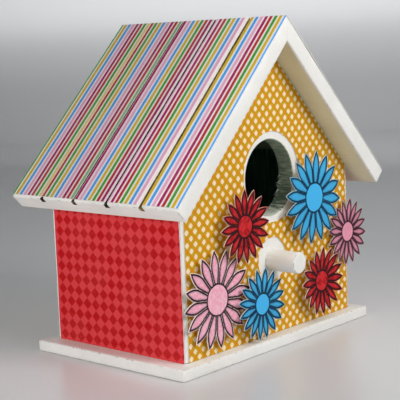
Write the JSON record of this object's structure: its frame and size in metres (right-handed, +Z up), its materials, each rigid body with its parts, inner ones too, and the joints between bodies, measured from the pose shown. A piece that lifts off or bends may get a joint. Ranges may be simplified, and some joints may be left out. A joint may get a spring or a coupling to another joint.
{
  "type": "decorative birdhouse",
  "caption": "Small gabled wooden birdhouse, painted white and covered in patterned paper, with a round entrance, a dowel perch and raised paper flowers.",
  "frame": {"origin": "centre of the base board's underside, on the surface that the birdhouse stands on", "axes": "+Z up; the entrance and perch face -Y and the ridge runs along Y; +X is to the right of someone facing the entrance"},
  "size_m": [0.1492, 0.1025, 0.1462],
  "materials": {
    "white_painted_wood": "satin",
    "check_paper": "matte",
    "diamond_paper": "matte",
    "stripe_paper": "matte",
    "pink_flower_card": "matte",
    "red_flower_card": "matte",
    "blue_flower_card": "matte",
    "foam": "matte",
    "brad_steel": "satin"
  },
  "bodies": {
    "root": {"back_paper": "check_paper", "back_wall": "white_painted_wood", "base_board": "white_painted_wood", "brad_back_left_lower": "brad_steel", "brad_back_left_upper": "brad_steel", "brad_back_right_lower": "brad_steel", "brad_back_right_upper": "brad_steel", "brad_base_left_back": "brad_steel", "brad_base_left_front": "brad_steel", "brad_base_right_back": "brad_steel", "brad_base_right_front": "brad_steel", "brad_front_left_lower": "brad_steel", "brad_front_left_upper": "brad_steel", "brad_front_right_lower": "brad_steel", "brad_front_right_upper": "brad_steel", "brad_roof_left_back_eave": "brad_steel", "brad_roof_left_back_ridge": "brad_steel", "brad_roof_left_front_eave": "brad_steel", "brad_roof_left_front_ridge": "brad_steel", "brad_roof_right_back_eave": "brad_steel", "brad_roof_right_back_ridge": "brad_steel", "brad_roof_right_front_eave": "brad_steel", "brad_roof_right_front_ridge": "brad_steel", "flower_blue_large": "blue_flower_card", "flower_blue_small": "blue_flower_card", "flower_pink_large": "pink_flower_card", "flower_pink_small": "pink_flower_card", "flower_red_lower": "red_flower_card", "flower_red_upper": "red_flower_card", "foam_pad_blue_large": "foam", "foam_pad_blue_small": "foam", "foam_pad_pink_large": "foam", "foam_pad_pink_small": "foam", "foam_pad_red_lower": "foam", "foam_pad_red_upper": "foam", "front_paper": "check_paper", "front_wall": "white_painted_wood", "left_paper": "diamond_paper", "left_wall": "white_painted_wood", "perch_dowel": "white_painted_wood", "right_paper": "diamond_paper", "right_wall": "white_painted_wood", "roof_board_left": "white_painted_wood", "roof_board_right": "white_painted_wood", "stripe_paper_left_1": "stripe_paper", "stripe_paper_left_2": "stripe_paper", "stripe_paper_left_3": "stripe_paper", "stripe_paper_left_4": "stripe_paper", "stripe_paper_left_5": "stripe_paper", "stripe_paper_right_1": "stripe_paper", "stripe_paper_right_2": "stripe_paper", "stripe_paper_right_3": "stripe_paper", "stripe_paper_right_4": "stripe_paper", "stripe_paper_right_5": "stripe_paper"}
  },
  "joints": []
}
